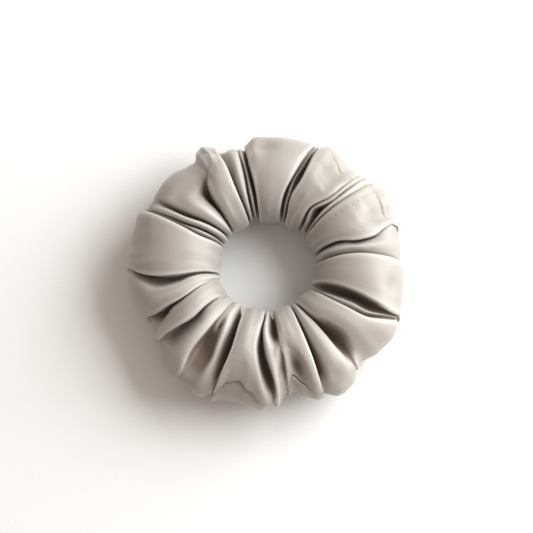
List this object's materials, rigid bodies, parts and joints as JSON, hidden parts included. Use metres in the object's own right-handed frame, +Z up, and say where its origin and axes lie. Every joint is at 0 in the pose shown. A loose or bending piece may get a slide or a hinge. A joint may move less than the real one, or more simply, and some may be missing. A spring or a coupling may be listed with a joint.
{
  "type": "scrunchie",
  "caption": "Soft hair tie: a gathered tube of satin cloth sewn closed around a hidden ring of flat elastic, with a round opening that the hair goes through.",
  "frame": {"origin": "middle of the hair opening, on the surface that the scrunchie lies on", "axes": "+Z up through the hair opening; the short closing seam lies at 45 degrees from +X towards +Y"},
  "size_m": [0.11, 0.11, 0.03],
  "materials": {
    "satin": "soft satin sheen, light warm taupe",
    "elastic": "matt braided elastic, off-white",
    "thread": "twisted polyester sewing thread, matched to the satin"
  },
  "bodies": {
    "root": {"satin_cover": "satin", "elastic_band": "elastic", "long_seam_needle_thread": "thread", "long_seam_bobbin_thread": "thread", "closing_seam_needle_thread": "thread", "closing_seam_bobbin_thread": "thread", "elastic_join_needle_thread": "thread", "elastic_join_bobbin_thread": "thread"}
  },
  "joints": []
}
